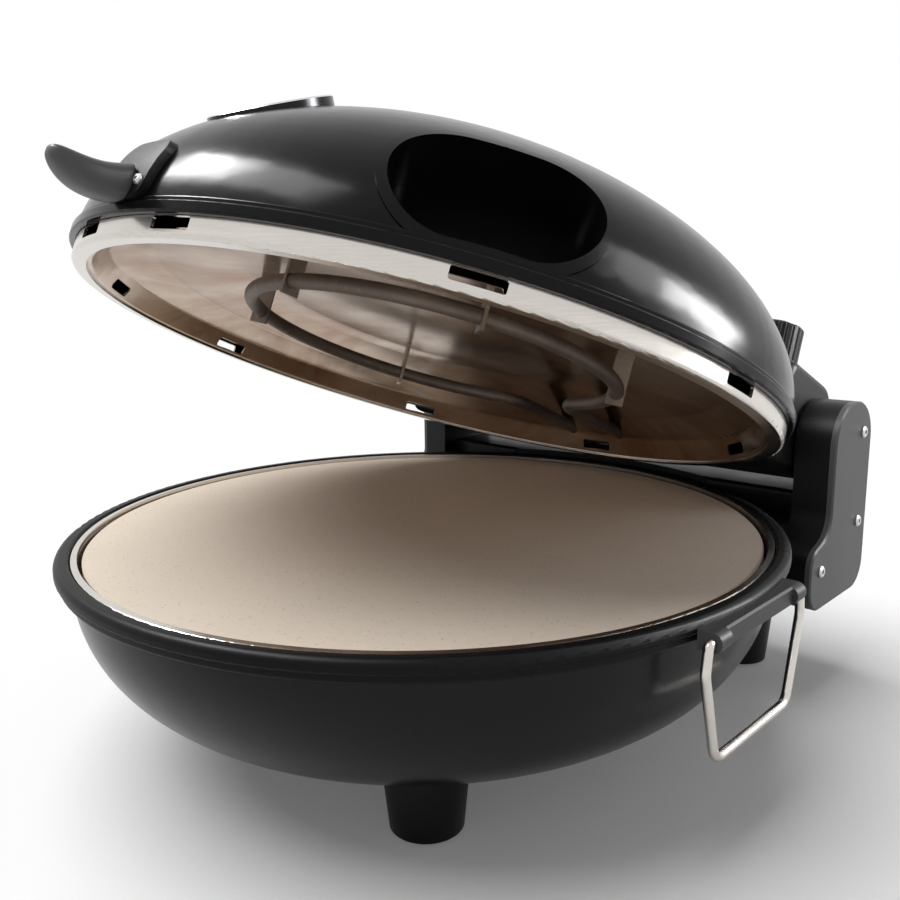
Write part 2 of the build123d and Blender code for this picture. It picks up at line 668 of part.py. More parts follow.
def badge_place():
    z = DOME_Z + DOME_HEIGHT * math.sqrt(1 - (BADGE_Y / DOME_RADIUS) ** 2)
    normal = (0, BADGE_Y / DOME_RADIUS ** 2, (z - DOME_Z) / DOME_HEIGHT ** 2)
    return Plane(origin=(0, BADGE_Y, z), x_dir=(1, 0, 0), z_dir=normal).location * Rot(X=BADGE_TILT)


def badge_ring():
    cup = disc(BADGE_RADIUS, -3 * BADGE_STAND, BADGE_STAND)
    cup -= disc(BADGE_FACE_RADIUS, BADGE_STAND - BADGE_RECESS, BADGE_STAND)
    cup = chamfer(cup.edges().filter_by(GeomType.CIRCLE).group_by(Axis.Z)[-1], BADGE_RECESS * 0.6)
    return badge_place() * cup - lid_envelope()


def badge_disc():
    plate = disc(BADGE_FACE_RADIUS - 0.3, BADGE_STAND - BADGE_RECESS, BADGE_STAND - BADGE_RECESS / 2)
    return badge_place() * chamfer(plate.edges().group_by(Axis.Z)[-1], BADGE_RECESS / 5)


def handle_screw_places():
    z = STONE_TOP + HANDLE_MIDDLE - HANDLE_SCREW_DROP
    radius = dome_radius_at(z) + HANDLE_SEAT_THICKNESS
    lean = math.atan2((z - DOME_Z) / DOME_HEIGHT ** 2, radius / DOME_RADIUS ** 2)
    places = []
    for side in (-1, 1):
        turn = math.asin(side * HANDLE_SCREW_X / radius)
        normal = (math.cos(lean) * math.sin(turn), -math.cos(lean) * math.cos(turn), math.sin(lean))
        origin = (radius * math.sin(turn), -radius * math.cos(turn), z)
        places.append(Plane(origin=origin, z_dir=normal).location)
    return places


def handle_seat():
    """Black pad between the handle and the dome, shaped to the dome."""
    outline = RectangleRounded(HANDLE_SEAT_WIDTH, HANDLE_SEAT_HEIGHT, HANDLE_SEAT_CORNER)
    centre = (0, -DOME_RADIUS / 2, STONE_TOP + HANDLE_MIDDLE)
    middle = Plane(origin=centre, x_dir=(1, 0, 0), z_dir=(0, -1, 0))
    slab = extrude(middle * outline, amount=DOME_RADIUS)
    seat = (slab & dome_solid(HANDLE_SEAT_THICKNESS)) - lid_envelope()
    for place in handle_screw_places():
        seat -= screw_hole(place, HANDLE_SCREW_SHANK, HANDLE_SCREW_LENGTH)
        seat -= place * disc(HANDLE_SCREW_HEAD + PIN_CLEARANCE, 0, SCREW_HEAD)
    return seat


def lid_handle():
    """Lifting lip: a short fin, thick at its root and hooked up at its tip."""
    root, belly, hook, tip, top, neck, shoulder = [
        (y, STONE_TOP + rise) for y, rise in (HANDLE_ROOT, HANDLE_BELLY, HANDLE_HOOK, HANDLE_TIP, HANDLE_TOP,
                                              HANDLE_NECK, HANDLE_SHOULDER)]
    face = make_face([ThreePointArc(root, belly, hook).edge(), ThreePointArc(hook, tip, top).edge(),
                      ThreePointArc(top, neck, shoulder).edge(), Line(shoulder, root).edge()])
    fin = side_profile(face, -HANDLE_WIDTH / 2, HANDLE_WIDTH / 2)
    plan = RectangleRounded(HANDLE_WIDTH, 2 * (root[0] - tip[0]), HANDLE_CORNER)
    fin = fin & Pos(0, root[0], STONE_TOP) * extrude(plan, amount=2 * HANDLE_MIDDLE)
    below = disc(DOME_RADIUS + HANDLE_SEAT_THICKNESS, STONE_TOP, root[1])
    return fin - dome_solid(HANDLE_SEAT_THICKNESS) - below


def lid_housing_outline(inset):
    """Side view of the control housing: flat base, round heel about the hinge, round rear shoulder."""
    base = STONE_TOP + LID_HOUSING_BASE_RISE
    top = STONE_TOP + LID_HOUSING_TOP_RISE
    heel = HINGE_Z - base
    reach = LID_HOUSING_REAR - HINGE_Y
    turn = math.asin(reach / heel)
    heel_mid = (HINGE_Y + heel * math.sin(turn / 2), HINGE_Z - heel * math.cos(turn / 2))
    heel_end = (LID_HOUSING_REAR, HINGE_Z - heel * math.cos(turn))
    upper = FilletPolyline(
        heel_end, (LID_HOUSING_REAR, top), (LID_HOUSING_BROW, top),
        (LID_HOUSING_FRONT, base), (HINGE_Y, base),
        radius=[LID_HOUSING_SHOULDER, LID_HOUSING_SHOULDER / 2, 3.0])
    face = make_face([ThreePointArc((HINGE_Y, base), heel_mid, heel_end).edge()] + list(upper.edges()))
    return offset(face, -inset) if inset else face


def lid_housing():
    """Control housing on the back of the dome: carries the knobs and turns on the hinge pins."""
    shell = side_profile(lid_housing_outline(0), -LID_HOUSING_HALF, LID_HOUSING_HALF)
    flanks = shell.faces().filter_by(Axis.X).edges().filter_by(lambda edge: edge.center().Z > HINGE_Z - 15)
    shell = fillet(flanks, 4.0)
    half = LID_HOUSING_HALF - LID_HOUSING_WALL - 1
    hollow = side_profile(lid_housing_outline(LID_HOUSING_WALL), -half, half)
    boss = rod_x(PIN_RADIUS * 2, PIN_END - PIN_LENGTH - 2, half, HINGE_Y, HINGE_Z)
    hollow -= boss + mirrored(boss)
    shell -= hollow + lid_envelope()
    bore = rod_x(PIN_RADIUS + PIN_CLEARANCE, PIN_END - PIN_LENGTH - 1, LID_HOUSING_HALF, HINGE_Y, HINGE_Z)
    shell -= bore + mirrored(bore)
    top = STONE_TOP + LID_HOUSING_TOP_RISE
    for side in (-1, 1):
        shell -= disc(BUSH_RADIUS, top - 2 * LID_HOUSING_WALL, top, side * KNOB_X, KNOB_Y)
        shell -= disc(LAMP_RADIUS, top - 2 * LID_HOUSING_WALL, top, side * LAMP_X, LAMP_Y)
    return shell


def thermostat():
    """Bimetal thermostat hung under the housing's top by its bush."""
    top = STONE_TOP + LID_HOUSING_TOP_RISE
    ceiling = top - LID_HOUSING_WALL
    floor = ceiling - THERMOSTAT_HEIGHT
    blade_y = KNOB_Y + THERMOSTAT_HALF_DEPTH / 3
    body = block((KNOB_X - THERMOSTAT_HALF_WIDTH, KNOB_X + THERMOSTAT_HALF_WIDTH),
                 (KNOB_Y - THERMOSTAT_HALF_DEPTH, KNOB_Y + THERMOSTAT_HALF_DEPTH), (floor, ceiling))
    body += disc(BUSH_RADIUS, ceiling, top + 0.6, KNOB_X, KNOB_Y)
    for x in (KNOB_X - BLADE_X, KNOB_X + BLADE_X):
        body += block((x - BLADE_HALF, x + BLADE_HALF), (blade_y, blade_y + BLADE_THICKNESS),
                      (floor - BLADE_LENGTH, floor))
    return body - disc(SHAFT_RADIUS + PIN_CLEARANCE, ceiling - 9, top + 1, KNOB_X, KNOB_Y)


def knob_shaft():
    top = STONE_TOP + LID_HOUSING_TOP_RISE
    return disc(SHAFT_RADIUS, top - LID_HOUSING_WALL - 8, top + KNOB_LIFT + KNOB_HEIGHT - 6, KNOB_X, KNOB_Y)


def knob():
    """Fluted knob with a base skirt, a bright-edged cap face and a pointer groove."""
    low = STONE_TOP + LID_HOUSING_TOP_RISE + KNOB_LIFT
    skirt = low + KNOB_SKIRT
    high = low + KNOB_HEIGHT
    body = disc(KNOB_RADIUS, low, skirt) + disc(KNOB_RADIUS - 1, skirt, high)
    body = chamfer(body.edges().group_by(Axis.Z)[-1], 1.0)
    pitch = KNOB_RADIUS - 0.4
    for index in range(KNOB_GRIPS):
        angle = 2 * math.pi * index / KNOB_GRIPS
        body -= disc(FLUTE_RADIUS, skirt, high + 1, pitch * math.cos(angle), pitch * math.sin(angle))
    body -= block((-POINTER_HALF, POINTER_HALF), (-KNOB_RADIUS, -KNOB_RADIUS / 3),
                  (high - POINTER_HALF, high + 1))
    body = Pos(KNOB_X, KNOB_Y, 0) * body
    return body - knob_shaft()


def lamp_lens():
    top = STONE_TOP + LID_HOUSING_TOP_RISE
    lens = disc(LAMP_RADIUS, top - LID_HOUSING_WALL, top + 1.2, LAMP_X, LAMP_Y)
    return chamfer(lens.edges().group_by(Axis.Z)[-1], 0.6)


def thermal_cutout():
    """Safety cut-out clamped against the back of the dome, inside the control housing."""
    z = HINGE_Z + 4
    return rod_y(CUTOUT_RADIUS, BAND_RADIUS / 2, dome_radius_at(z) + CUTOUT_DEPTH, 0, z) - lid_envelope()


# ---- side bails ---------------------------------------------------------------------------
def bail():
    """Wire bail: ends turned in to the lugs from outside, splayed legs, round bottom corners."""
    z = STONE_TOP - BAIL_DROP
    right = [(BAIL_X, BAIL_EYE, z), (BAIL_X, BAIL_SIDE, z), (BAIL_X, BAIL_SPLAY, z - BAIL_SPLAY_DROP),
             (BAIL_X, BAIL_BASE, z - BAIL_LENGTH)]
    points = right + [(x, -y, height) for x, y, height in reversed(right)]
    path = FilletPolyline(*points, radius=[2.3, 8.0, 6.0, 6.0, 8.0, 2.3])
    section = Plane(origin=points[0], z_dir=(0, 1, 0)) * Circle(BAIL_WIRE)
    return sweep(section, path=path)


def bail_bracket():
    """Bar along the rim with a lug at each end for the bail's turned ends."""
    z = STONE_TOP - BAIL_DROP
    root = RIM_RADIUS - RIM_WIDTH
    heights = (z - LUG_RADIUS, z + LUG_RADIUS)
    bar = block((root, BRACKET_FACE), (-LUG_INNER, LUG_INNER), heights)
    body = chamfer(bar.edges().filter_by(Axis.Y).group_by(Axis.X)[-1], BRACKET_EDGE)
    for low, high in ((-LUG_OUTER, -LUG_INNER), (LUG_INNER, LUG_OUTER)):
        web = block((root, BAIL_X), (low, high), heights)
        body = body + web + rod_y(LUG_RADIUS, low, high, BAIL_X, z)
        body -= rod_y(BAIL_WIRE + PIN_CLEARANCE, low, high, BAIL_X, z)
    return body - disc(RIM_RADIUS, 0, RIM_TOP + 1)


# ---- assembly -----------------------------------------------------------------------------
def opened(shape):
    """Turn a lid piece about the hinge to the half-open rest position."""
    return Pos(*PIVOT) * Rot(X=-LID_REST) * Pos(0, -HINGE_Y, -HINGE_Z) * shape


def build_base():
    envelope = bowl_envelope()
    clip_top = LOWER_ELEMENT_Z + 6
    clips = [element_clip(LOWER_ELEMENT_RING, LOWER_ELEMENT_Z, LEDGE_Z - PAN_DEPTH, clip_top, angle)
             for angle in CLIP_ANGLES]
    front_top = BOWL_FLOOR + FOOT_BLEND
    rear_top = HOUSING_BASE - COVER_THICKNESS
    front_right = (foot(FRONT_FOOT_X, FRONT_FOOT_Y, front_top) - envelope).solids().sort_by(Axis.Z)[0]
    rear_right = foot(REAR_FOOT_X, REAR_FOOT_Y, rear_top)
    feet = [(FRONT_FOOT_X, FRONT_FOOT_Y), (REAR_FOOT_X, REAR_FOOT_Y)]
    pads = [foot_pad(side * x, y) for x, y in feet for side in (-1, 1)]
    pin = hinge_pin()
    washer = friction_washer()
    bracket = bail_bracket()
    plate = hinge_plate()
    return {
        "base_bowl": base_bowl(), "base_rim": base_rim(), "base_trim_ring": base_trim(),
        "base_reflector_pan": base_pan(),
        "lower_element": heating_rod(LOWER_ELEMENT_RING, LOWER_ELEMENT_Z, LOWER_TAIL_END),
        "lower_element_clips": clips,
        "foot_front_right": front_right, "foot_front_left": mirrored(front_right),
        "foot_rear_right": rear_right, "foot_rear_left": mirrored(rear_right), "foot_pads": pads,
        "hinge_housing": hinge_housing(), "hinge_housing_cover": hinge_cover(),
        "hinge_cover_screws": cover_screws(), "hinge_plate_screws": plate_screws(),
        "hinge_plate_right": plate, "hinge_plate_left": mirrored(plate),
        "hinge_pin_right": pin, "hinge_pin_left": mirrored(pin), "hinge_washers": [washer, mirrored(washer)],
        "cord_gland": cord_gland(), "terminal_block": terminal_block(),
        "bail_bracket_right": bracket, "bail_bracket_left": mirrored(bracket),
    }


def build_lid():
    above = above_reflector()
    clip_low = UPPER_ELEMENT_Z - 6
    clip_top = STONE_TOP + REFLECTOR_CROWN
    clips = [element_clip(UPPER_ELEMENT_RING, UPPER_ELEMENT_Z, clip_low, clip_top, angle) - above
             for angle in CLIP_ANGLES]
    scoop = grip_scoop()
    shaft, dial, control, lens = knob_shaft(), knob(), thermostat(), lamp_lens()
    screws = [button_screw(place, HANDLE_SCREW_HEAD, HANDLE_SCREW_SHANK, HANDLE_SCREW_LENGTH)
              for place in handle_screw_places()]
    return {
        "lid_dome": lid_dome(), "lid_rim_band": lid_band(), "lid_reflector": lid_reflector(),
        "upper_element": heating_rod(UPPER_ELEMENT_RING, UPPER_ELEMENT_Z, UPPER_TAIL_END),
        "upper_element_clips": clips, "grip_scoop_right": scoop, "grip_scoop_left": mirrored(scoop),
        "badge_ring": badge_ring(), "badge_disc": badge_disc(),
        "handle_seat": handle_seat(), "lid_handle": lid_handle(), "handle_screws": screws,
        "control_housing": lid_housing(), "thermal_cutout": thermal_cutout(),
        "thermostat_right": control, "thermostat_left": mirrored(control),
        "knob_right": dial, "knob_left": mirrored(dial),
        "knob_shaft_right": shaft, "knob_shaft_left": mirrored(shaft),
        "lamp_lenses": [lens, mirrored(lens)],
    }


def as_compound(shape):
    """One compound of the separate solids of a node."""
    pieces = shape if isinstance(shape, list) else [shape]
    return Compound(children=[solid for piece in pieces for solid in piece.solids()])


nodes = build_base()
nodes.update({name: [opened(piece) for piece in (shape if isinstance(shape, list) else [shape])]
              for name, shape in build_lid().items()})
nodes["stone"] = stone()
wire = bail()
nodes["bail_right"], nodes["bail_left"] = wire, mirrored(wire)

compounds = {name: as_compound(shape) for name, shape in nodes.items()}
boxes = [compound.bounding_box() for compound in compounds.values()]
middle_y = (min(box.min.Y for box in boxes) + max(box.max.Y for box in boxes)) / 2

os.makedirs("parts", exist_ok=True)
for name, compound in compounds.items():
    export_step(Pos(0, -middle_y, 0) * compound, f"parts/{name}.step")
print("moved in Y by", round(-middle_y, 4))
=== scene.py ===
"""Electric pizza maker: finishes, small fittings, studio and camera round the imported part."""
import json
import math

import bmesh
import bpy
from bpy.props import FloatProperty, FloatVectorProperty, IntProperty, PointerProperty
from bpy.types import Operator, Panel, PropertyGroup
from mathutils import Matrix, Quaternion, Vector


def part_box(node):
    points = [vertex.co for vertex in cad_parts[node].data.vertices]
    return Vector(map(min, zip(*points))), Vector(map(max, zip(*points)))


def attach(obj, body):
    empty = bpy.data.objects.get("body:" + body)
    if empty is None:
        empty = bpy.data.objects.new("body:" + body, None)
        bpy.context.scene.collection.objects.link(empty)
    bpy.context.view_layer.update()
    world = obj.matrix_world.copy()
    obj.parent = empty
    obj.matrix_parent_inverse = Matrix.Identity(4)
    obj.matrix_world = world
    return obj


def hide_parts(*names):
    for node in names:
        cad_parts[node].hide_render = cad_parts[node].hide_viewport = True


bl_info = {
    "name": "Electric pizza maker",
    "version": (1, 0, 0),
    "blender": (4, 5, 0),
    "location": "3D View > Sidebar > Pizza maker",
    "description": "Gives the pizza maker its finishes, dial marks, studio and camera",
    "category": "Object",
}

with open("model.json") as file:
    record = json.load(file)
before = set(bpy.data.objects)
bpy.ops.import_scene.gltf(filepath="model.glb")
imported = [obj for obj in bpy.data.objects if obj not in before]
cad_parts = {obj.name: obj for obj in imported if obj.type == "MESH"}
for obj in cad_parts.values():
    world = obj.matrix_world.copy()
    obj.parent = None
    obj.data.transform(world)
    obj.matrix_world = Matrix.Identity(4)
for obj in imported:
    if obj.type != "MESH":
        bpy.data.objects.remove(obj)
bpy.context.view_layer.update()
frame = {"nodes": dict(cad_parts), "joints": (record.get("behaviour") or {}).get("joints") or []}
NODES = frame["nodes"]
JOINTS = {joint["name"]: joint for joint in frame["joints"]}

STONE_LOW, STONE_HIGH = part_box("stone")
STONE_CENTRE = Vector((0.0, (STONE_LOW.y + STONE_HIGH.y) / 2, STONE_HIGH.z))
MILLIMETRE = 0.001
LID_REST = math.radians(-22.5)  # turn of the resting lid about X, from shut

# The handle from its root to its tip, in millimetres from the middle of the stone's top with the lid shut.
# Each section: y, low edge, high edge, half width.
HANDLE_SECTIONS = (
    (-160.5, 13.6, 29.0, 8.8),
    (-165.0, 12.2, 26.2, 8.9),
    (-170.0, 11.4, 24.0, 8.7),
    (-175.0, 11.3, 22.8, 8.2),
    (-180.0, 12.4, 22.4, 7.1),
    (-184.0, 14.4, 22.4, 5.4),
    (-186.6, 16.6, 22.0, 3.6),
    (-187.8, 18.3, 21.0, 1.7),
)

# The bright ring on a knob, in metres. It stands up by its rise and is sunk into the knob.
RING_WIDTH = 0.0030
RING_RISE = 0.0005
RING_SUNK = 0.0004
RING_BEVEL = 0.0004
RING_OUTER_BEVEL = 0.0003

# The printed dial, in metres and degrees.
DIAL_SWEEP = 270
DIAL_DROP = 0.00095
MARK_BREADTH = 0.0005
MAIN_MARK_BREADTH = 0.0009
MAIN_MARK_EVERY = 5
MARK_THICKNESS = 0.0002

# The soft boxes that the gloss shows. Each: name, which glow, share of it, azimuth and elevation in degrees,
# width and height in metres, roll in degrees.
PANELS = (
    ("left_panel", "left_glow", 1.0, -63, 50, 0.42, 0.24, 35),
    ("left_sheet", "left_glow", 0.42, -40, 57, 0.90, 0.34, 22),
    ("right_panel", "right_glow", 1.0, 132, 13, 0.24, 0.40, 30),
    ("right_sheet", "right_glow", 0.22, 127, 20, 0.42, 0.70, 30),
)
PANEL_TARGET = STONE_CENTRE + Vector((0, -0.05, 0.12))
PANEL_DISTANCE = 1.0

# The wide key light, high on the left.
KEY_AZIMUTH = -60
KEY_ELEVATION = 66
KEY_DISTANCE = 2.0
KEY_ANGLE = math.radians(56)

SENSOR_WIDTH = 36  # of the camera, in millimetres


# ---- shader writing -------------------------------------------------------------------------
class Wire:
    """An output of a shader node, which can be used in sums with numbers and other outputs."""

    def __init__(self, recipe, socket):
        self.recipe = recipe
        self.socket = socket

    def maths(self, operation, *values, clamp=False):
        links = dict(enumerate(values))
        return self.recipe.add("Math", {"operation": operation, "use_clamp": clamp}, links)

    def __add__(self, other):
        return self.maths("ADD", self, other)

    def __radd__(self, other):
        return self.maths("ADD", other, self)

    def __sub__(self, other):
        return self.maths("SUBTRACT", self, other)

    def __rsub__(self, other):
        return self.maths("SUBTRACT", other, self)

    def __mul__(self, other):
        return self.maths("MULTIPLY", self, other)

    def __rmul__(self, other):
        return self.maths("MULTIPLY", other, self)

    def clamped(self):
        return self.maths("ADD", self, 0.0, clamp=True)

    def between(self, low, high):
        """0 below low, 1 above high, smooth between."""
        return self.recipe.add("MapRange", {"interpolation_type": "SMOOTHSTEP"}, {0: self, 1: low, 2: high})


class Graph:
    """A shader node tree in the making."""

    def __init__(self, tree):
        self.tree = tree
        tree.nodes.clear()

    def add(self, kind, settings=None, values=None, out=0):
        """Any node: its settings are set first, then the values or links of its sockets."""
        node = self.tree.nodes.new("ShaderNode" + kind)
        for key, value in (settings or {}).items():
            setattr(node, key, value)
        for key, value in (values or {}).items():
            if isinstance(value, Wire):
                self.tree.links.new(value.socket, node.inputs[key])
            else:
                node.inputs[key].default_value = value
        return Wire(self, node.outputs[out])

    def seen(self):
        """1 to the camera, in reflections and through glass, 0 to the light that falls on things."""
        outputs = self.add("LightPath").socket.node.outputs
        kinds = ("Camera", "Glossy", "Transmission")
        camera, glossy, glass = (Wire(self, outputs[f"Is {kind} Ray"]) for kind in kinds)
        return (camera + glossy + glass).clamped()


class Recipe(Graph):
    """A material in the making, with its Principled shader."""

    def __init__(self, name, **constants):
        self.material = bpy.data.materials.new(name)
        self.material.use_nodes = True
        super().__init__(self.material.node_tree)
        self.shader = self.tree.nodes.new("ShaderNodeBsdfPrincipled")
        output = self.tree.nodes.new("ShaderNodeOutputMaterial")
        self.tree.links.new(self.shader.outputs[0], output.inputs["Surface"])
        for socket, value in constants.items():
            self.shader.inputs[socket.replace("_", " ")].default_value = value

    def place(self, scale=(1, 1, 1)):
        """Where a point of the surface lies on the part, in metres."""
        point = self.add("TexCoord", out="Object")
        return self.add("Mapping", values={"Vector": point, "Scale": scale})

    def noise(self, place, scale, detail=3.0, roughness=0.5, distortion=0.0):
        """Cloudy variation from 0 to 1 with about 0.5 in the middle."""
        return self.add("TexNoise", values={"Vector": place, "Scale": scale, "Detail": detail,
                                            "Roughness": roughness, "Distortion": distortion})

    def spots(self, place, scale):
        """Distance to the nearest of scattered points, 0 at a point."""
        return self.add("TexVoronoi", values={"Vector": place, "Scale": scale}, out="Distance")

    def blend(self, amount, low, high):
        """Mixes two colours: low at 0, high at 1."""
        return self.add("Mix", {"data_type": "RGBA"}, {0: amount, 6: low, 7: high}, 2)

    def bump(self, height, strength, distance):
        """Normal of a surface raised by height, up to a distance in metres."""
        return self.add("Bump", values={"Height": height, "Strength": strength, "Distance": distance})

    def feed(self, **wires):
        """Links what varies over the surface to the shader."""
        for key, wire in wires.items():
            self.tree.links.new(wire.socket, self.shader.inputs[key.replace("_", " ")])
        return self.material

    def edges(self, width):
        """1 on the part's edges, 0 elsewhere."""
        rounded = self.add("Bevel", {"samples": 4}, {"Radius": width})
        flat = self.add("NewGeometry", out="Normal")
        match = self.add("VectorMath", {"operation": "DOT_PRODUCT"}, {0: rounded, 1: flat}, "Value")
        return (1.0 - match).between(0.02, 0.2)


def rgba(colour, times=1.0, plus=0.0):
    """A colour made lighter or darker, with its alpha."""
    return (*(min(c * times + plus, 1.0) for c in colour), 1.0)


def dress(material, *names):
    """Puts a material on every slot of CAD nodes."""
    for name in names:
        for slot in NODES[name].material_slots:
            slot.material = material


# ---- finishes -------------------------------------------------------------------------------
def enamel(name, colour, roughness, peel, shine):
    """Baked black paint: faint orange peel, uneven gloss and a few specks of dust."""
    recipe = Recipe(name, Specular_IOR_Level=shine)
    place = recipe.place()
    cloud = recipe.noise(place, 14.0, 4.0)
    ripple = recipe.noise(place, 480.0, 2.0)
    dust = recipe.noise(place, 2600.0, 1.0).between(0.7, 0.82)
    faded = ((cloud - 0.35) * 0.8 + dust * 0.1).clamped()
    tint = recipe.blend(faded, rgba(colour), rgba(colour, 1.7, 0.002))
    gloss = roughness + (cloud - 0.5) * 0.06 + dust * 0.08
    return recipe.feed(Base_Color=tint, Roughness=gloss, Normal=recipe.bump(ripple, peel, 0.0004))


def moulded(name, colour, roughness, grain=1900.0, depth=0.22):
    """Moulded heat-proof plastic with a fine spark-eroded grain."""
    recipe = Recipe(name, Specular_IOR_Level=0.15)
    place = recipe.place()
    pits = recipe.spots(place, grain)
    cloud = recipe.noise(place, 22.0, 3.0)
    flow = recipe.noise(recipe.place(scale=(1, 1, 0.15)), 60.0, 2.0)
    tint = recipe.blend(cloud * 0.6 + flow * 0.3, rgba(colour, 0.75), rgba(colour, 1.4))
    # Lighter in colour along the edges.
    tint = recipe.blend(recipe.edges(0.0008) * 0.25, tint, rgba(colour, 2.2, 0.02))
    gloss = roughness + (flow - 0.5) * 0.12 + (pits - 0.4) * 0.08
    return recipe.feed(Base_Color=tint, Roughness=gloss, Normal=recipe.bump(pits, depth, 0.0002))


def steel(name, colour, roughness, lines, heat=0.0, heat_colour=(0, 0, 0), drawn=(1, 1, 14), depth=0.06):
    """Stainless steel with drawn lines, smears and, where it is heated, a patchy brown tint."""
    recipe = Recipe(name, Metallic=1.0)
    place = recipe.place()
    draw = recipe.noise(recipe.place(scale=drawn), lines, 3.0, 0.6)
    smear = recipe.noise(place, 17.0, 5.0, 0.6, 0.6)
    fine = recipe.noise(place, 900.0, 2.0)
    tint = recipe.blend(draw, rgba(colour, 0.9), rgba(colour, 1.08))
    if heat:
        scorch = recipe.noise(place, 9.0, 5.0, 0.65, 1.2).between(0.34, 0.72) * heat
        tint = recipe.blend(scorch, tint, rgba(heat_colour))
    gloss = roughness + (smear - 0.5) * 0.16 + (draw - 0.5) * 0.12
    return recipe.feed(Base_Color=tint, Roughness=gloss, Normal=recipe.bump(draw + fine * 0.3, depth, 0.0003))


def badge_axis():
    """Direction the badge faces at rest: the normal of the largest face of its plate."""
    plate = NODES["badge_disc"].data
    largest = max(plate.polygons, key=lambda face: face.area * (face.normal.z > 0))
    return largest.normal.copy()


def badge_chrome(colour):
    """Chrome bezel whose side wall is coloured near black, a painted dark reflection; bright chrome where it faces
    outwards.
    """
    recipe = Recipe("badge chrome", Metallic=1.0)
    place = recipe.place()
    normal = recipe.add("TexCoord", out="Normal")
    painted_dark_wall_facing = recipe.add("VectorMath", {"operation": "DOT_PRODUCT"}, {0: normal, 1: badge_axis()}, "Value")
    smear = recipe.noise(place, 90.0, 4.0)
    fine = recipe.noise(place, 700.0, 2.0)
    # Painted dark reflection: the wall gets a near-black colour, so the chrome shows no reflection there.
    tint = recipe.blend(painted_dark_wall_facing.between(0.2, 0.7), (0.02, 0.02, 0.021, 1), rgba(colour))
    return recipe.feed(Base_Color=tint, Roughness=0.12 + smear * 0.12, Normal=recipe.bump(fine, 0.03, 0.0002))


def baking_stone(colour):
    """Pressed cordierite: sandy, pitted, flecked with darker grains and a few pale blooms."""
    recipe = Recipe("baking stone", IOR=1.45)
    place = recipe.place()
    cloud = recipe.noise(place, 16.0, 5.0, 0.55)
    sand = recipe.noise(place, 1300.0, 3.0, 0.7)
    fleck = 1.0 - recipe.spots(place, 420.0).between(0.10, 0.24)
    pit = 1.0 - recipe.spots(place, 230.0).between(0.05, 0.13)
    tint = recipe.blend(cloud, rgba(colour, 0.93), rgba(colour, 1.07))
    tint = recipe.blend(fleck * sand * 0.7, tint, rgba(colour, 0.55))
    # Painted shade: the pits are darker in colour, besides being sunk by the bump.
    tint = recipe.blend(pit * 0.5, tint, rgba(colour, 0.45))
    height = sand * 0.5 - pit * 1.4 - fleck * 0.3
    return recipe.feed(Base_Color=tint, Roughness=0.82 + sand * 0.16, Normal=recipe.bump(height, 0.35, 0.0006))


def heater_sheath(colour):
    """Oxidised tube of a heating rod: dark, with paler dusty bands."""
    recipe = Recipe("heating rod", Metallic=0.7)
    place = recipe.place()
    crust = recipe.noise(place, 240.0, 4.0, 0.65)
    band = recipe.noise(place, 26.0, 3.0)
    tint = recipe.blend(band.between(0.3, 0.7), rgba(colour, 0.6), rgba(colour))
    tint = recipe.blend(crust.between(0.5, 0.8) * 0.4, tint, (0.34, 0.24, 0.17, 1))
    return recipe.feed(Base_Color=tint, Roughness=0.42 + crust * 0.3, Normal=recipe.bump(crust, 0.2, 0.0004))


def pad_rubber():
    """Soft black rubber with a matt bloom."""
    recipe = Recipe("pad rubber", IOR=1.5)
    place = recipe.place()
    bloom = recipe.noise(place, 60.0, 4.0)
    grit = recipe.noise(place, 1500.0, 2.0)
    tint = recipe.blend(bloom, (0.018, 0.018, 0.019, 1), (0.045, 0.044, 0.043, 1))
    return recipe.feed(Base_Color=tint, Roughness=0.75 + grit * 0.2, Normal=recipe.bump(grit, 0.25, 0.0003))


def lamp_glass():
    """Ribbed red indicator lens."""
    recipe = Recipe("indicator lens", IOR=1.5, Coat_Weight=0.4, Coat_Roughness=0.05)
    place = recipe.place()
    rib = recipe.add("TexWave", {"bands_direction": "X"}, {"Vector": place, "Scale": 420.0})
    cloud = recipe.noise(place, 300.0)
    tint = recipe.blend(cloud, (0.45, 0.02, 0.015, 1), (0.75, 0.07, 0.04, 1))
    return recipe.feed(Base_Color=tint, Roughness=0.12 + rib * 0.15, Normal=recipe.bump(rib, 0.3, 0.0002))


def print_ink():
    """Pale pad-printed ink on the control housing."""
    recipe = Recipe("pale print")
    wear = recipe.noise(recipe.place(), 900.0, 3.0)
    tint = recipe.blend(wear, (0.5, 0.5, 0.5, 1), (0.72, 0.72, 0.71, 1))
    return recipe.feed(Base_Color=tint, Roughness=0.5 + wear * 0.2, Normal=recipe.bump(wear, 0.1, 0.0001))


def studio_paper(colour, lift):
    """Floor paper that keeps the shadow. A little glow lifts it to white where it is seen."""
    recipe = Recipe("studio paper", Roughness=0.9, Specular_IOR_Level=0.1, Emission_Strength=1.0)
    fibre = recipe.noise(recipe.place(), 320.0, 3.0)
    tint = recipe.blend(fibre, rgba(colour, 0.985), rgba(colour))
    glow = recipe.blend(recipe.seen(), (0, 0, 0, 1), (lift, lift, lift, 1))
    return recipe.feed(Base_Color=tint, Emission_Color=glow)


# ---- mesh writing ---------------------------------------------------------------------------
def piece(name, mesh, material, body):
    """Puts a finished mesh on a body of the part."""
    made = bpy.data.objects.new(name, mesh)
    bpy.context.collection.objects.link(made)
    mesh.materials.append(material)
    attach(made, body)
    return made


def joint_frame(joint):
    """Matrix whose Z is the joint's axis, at the joint's point."""
    axis = Vector(joint["axis"]).normalized()
    side = Vector((1, 0, 0))
    back = axis.cross(side).normalized()
    turn = Matrix((side, back, axis)).transposed().to_4x4()
    return Matrix.Translation(Vector(joint["pos_m"])) @ turn


